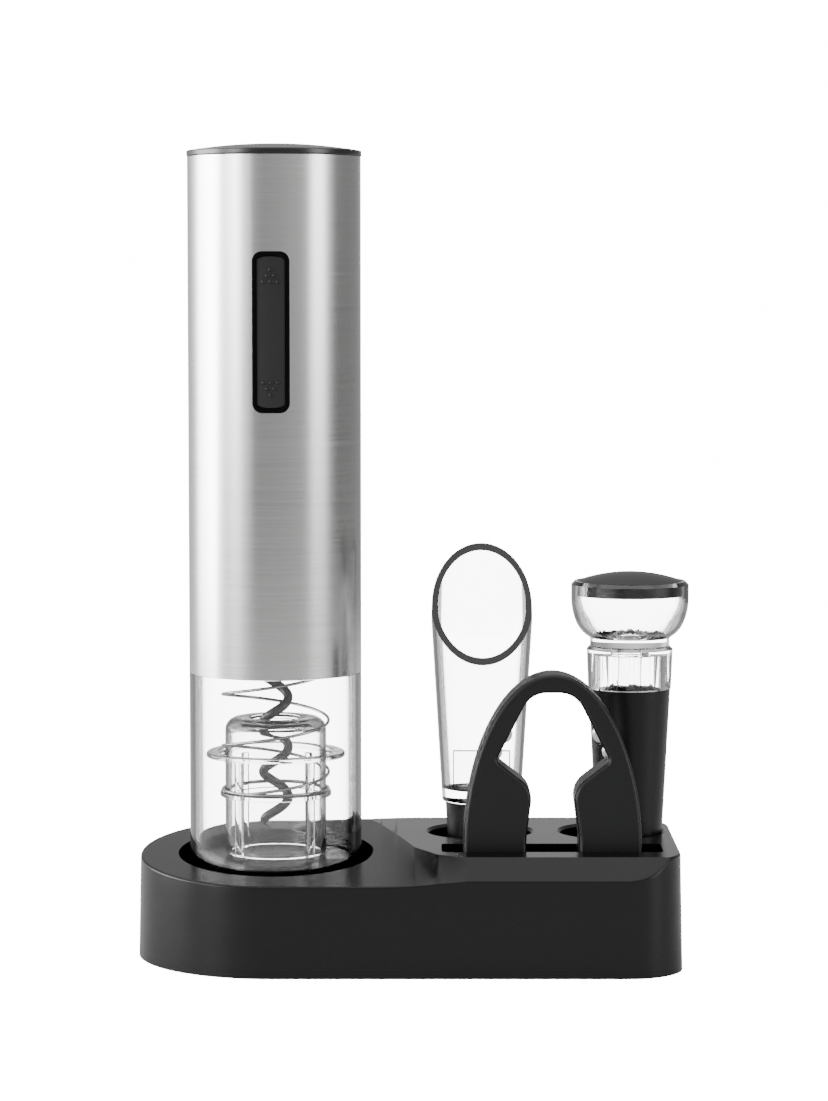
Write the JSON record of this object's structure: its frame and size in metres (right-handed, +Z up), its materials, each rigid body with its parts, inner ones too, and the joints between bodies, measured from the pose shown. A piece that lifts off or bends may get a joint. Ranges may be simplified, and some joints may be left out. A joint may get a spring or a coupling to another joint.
{
  "type": "electric wine opener",
  "caption": "Cordless wine opener with a steel body and a worm in a clear cover, on a stand with a pourer, a foil cutter and a vacuum stopper.",
  "frame": {"origin": "bottom centre of the whole set's bounding box", "axes": "+Z up along the opener's axis, +X from the opener towards the accessories, -Y towards the user"},
  "size_m": [0.1612, 0.08, 0.2356],
  "materials": {
    "stand_plastic": "charcoal moulded plastic, satin",
    "base_plastic": "black moulded plastic",
    "rubber_black": "black rubber",
    "screw_steel": "plated steel",
    "brushed_sleeve": "brushed stainless steel",
    "bezel_black": "gloss black plastic",
    "button_grey": "dark grey plastic",
    "board_green": "circuit board",
    "clear_plastic": "clear plastic",
    "white_plastic": "natural nylon",
    "zinc_plate": "zinc plated steel",
    "bronze": "sintered bronze",
    "magnet_grey": "ferrite",
    "copper_rotor": "laminations and enamelled wire",
    "chassis_black": "black moulded plastic",
    "cell_jacket": "plain battery jacket",
    "contact_spring": "nickel plated",
    "cap_grey": "dark grey plastic",
    "worm_coat": "dark non-stick coating on steel",
    "spring_wire": "spring steel wire",
    "cutter_black": "matte black plastic",
    "blade_steel": "hardened steel"
  },
  "bodies": {
    "stand": {"stand_shell": "stand_plastic", "stand_wells": "stand_plastic", "base_plate": "base_plastic", "stand_feet": "rubber_black", "stand_screws": "screw_steel"},
    "opener": {"steel_sleeve": "brushed_sleeve", "button_bezel": "bezel_black", "switch_board": "board_green", "tact_switches": "zinc_plate", "clear_cover": "clear_plastic", "ring_gear": "white_plastic", "bearing_plate": "chassis_black", "spindle_bush": "bronze", "motor_plate": "zinc_plate", "motor_screws": "screw_steel", "motor_can": "zinc_plate", "motor_bearing": "bronze", "motor_magnets": "magnet_grey", "motor_end_cap": "chassis_black", "chassis_front": "chassis_black", "chassis_rear": "chassis_black", "battery_tray": "chassis_black", "battery_cells": "cell_jacket", "lower_contacts": "contact_spring"},
    "rocker": {"rocker_button": "button_grey"},
    "cap": {"cap_ring": "bezel_black", "cap_dome": "cap_grey", "cap_contacts": "contact_spring"},
    "worm_drive": {"worm": "worm_coat", "spindle": "chassis_black", "planet_carrier": "zinc_plate", "planet_pins": "screw_steel"},
    "rotor": {"motor_shaft": "screw_steel", "motor_rotor": "copper_rotor", "sun_gear": "bronze"},
    "planet_1": {"planet_gear_1": "white_plastic"},
    "planet_2": {"planet_gear_2": "white_plastic"},
    "planet_3": {"planet_gear_3": "white_plastic"},
    "guide": {"bottle_guide": "clear_plastic", "return_spring": "spring_wire"},
    "pourer": {"pourer_spout": "clear_plastic", "pourer_divider": "clear_plastic", "pourer_bung": "rubber_black"},
    "stopper": {"stopper_body": "rubber_black", "stopper_collar": "clear_plastic", "stopper_valve": "rubber_black"},
    "pump": {"pump_bowl": "clear_plastic", "pump_lid": "cap_grey", "pump_rod": "clear_plastic", "piston_seal": "rubber_black"},
    "foil_cutter": {"cutter_frame": "cutter_black", "cutter_axles": "screw_steel"},
    "cutting_wheel_1": {"cutter_disc_1": "blade_steel"},
    "cutting_wheel_2": {"cutter_disc_2": "blade_steel"},
    "cutting_wheel_3": {"cutter_disc_3": "blade_steel"},
    "cutting_wheel_4": {"cutter_disc_4": "blade_steel"}
  },
  "joints": [
    {"name": "opener_lift", "type": "slide", "parent": "stand", "child": "opener", "axis": [0, 0, 1], "range_m": [0, 0.06]},
    {"name": "rocker_tilt", "type": "hinge", "parent": "opener", "child": "rocker", "pos_m": [-0.0406, -0.0237, 0.1818], "axis": [1, 0, 0], "range_deg": [-3, 3], "stiffness_Nm_per_rad": 0.05},
    {"name": "cap_twist", "type": "hinge", "parent": "opener", "child": "cap", "pos_m": [-0.0406, 0, 0.232], "axis": [0, 0, 1], "range_deg": [0, 60]},
    {"name": "worm_spin", "type": "hinge", "parent": "opener", "child": "worm_drive", "pos_m": [-0.0406, 0, 0.09], "axis": [0, 0, 1], "continuous": true},
    {"name": "rotor_spin", "type": "hinge", "parent": "opener", "child": "rotor", "pos_m": [-0.0406, 0, 0.14], "axis": [0, 0, 1], "continuous": true},
    {"name": "guide_slide", "type": "slide", "parent": "opener", "child": "guide", "axis": [0, 0, 1], "range_m": [0, 0.026], "stiffness_N_per_m": 120, "springref_m": -0.006, "deforming": ["return_spring"]},
    {"name": "pourer_lift", "type": "slide", "parent": "stand", "child": "pourer", "axis": [0, 0, 1], "range_m": [0, 0.05]},
    {"name": "stopper_lift", "type": "slide", "parent": "stand", "child": "stopper", "axis": [0, 0, 1], "range_m": [0, 0.05]},
    {"name": "pump_stroke", "type": "slide", "parent": "stopper", "child": "pump", "axis": [0, 0, 1], "range_m": [0, 0.018]},
    {"name": "cutter_lift", "type": "slide", "parent": "stand", "child": "foil_cutter", "axis": [0, 0, 1], "range_m": [0, 0.04]},
    {"name": "planet_spin_1", "type": "hinge", "parent": "worm_drive", "child": "planet_1", "pos_m": [-0.0316, 0, 0.116], "axis": [0, 0, 1], "continuous": true},
    {"name": "planet_spin_2", "type": "hinge", "parent": "worm_drive", "child": "planet_2", "pos_m": [-0.0451, 0.00779, 0.116], "axis": [0, 0, 1], "continuous": true},
    {"name": "planet_spin_3", "type": "hinge", "parent": "worm_drive", "child": "planet_3", "pos_m": [-0.0451, -0.00779, 0.116], "axis": [0, 0, 1], "continuous": true},
    {"name": "wheel_spin_1", "type": "hinge", "parent": "foil_cutter", "child": "cutting_wheel_1", "pos_m": [0.02235, -0.01725, 0.0619], "axis": [0, 1, 0], "continuous": true},
    {"name": "wheel_spin_2", "type": "hinge", "parent": "foil_cutter", "child": "cutting_wheel_2", "pos_m": [0.0252, -0.01725, 0.067], "axis": [0, 1, 0], "continuous": true},
    {"name": "wheel_spin_3", "type": "hinge", "parent": "foil_cutter", "child": "cutting_wheel_3", "pos_m": [0.05625, -0.01725, 0.0619], "axis": [0, 1, 0], "continuous": true},
    {"name": "wheel_spin_4", "type": "hinge", "parent": "foil_cutter", "child": "cutting_wheel_4", "pos_m": [0.0534, -0.01725, 0.067], "axis": [0, 1, 0], "continuous": true}
  ],
  "couplings": [
    {"joint": "rotor_spin", "follows": "worm_spin", "ratio": 5},
    {"joint": "planet_spin_1", "follows": "worm_spin", "ratio": -2.6667},
    {"joint": "planet_spin_2", "follows": "worm_spin", "ratio": -2.6667},
    {"joint": "planet_spin_3", "follows": "worm_spin", "ratio": -2.6667}
  ]
}
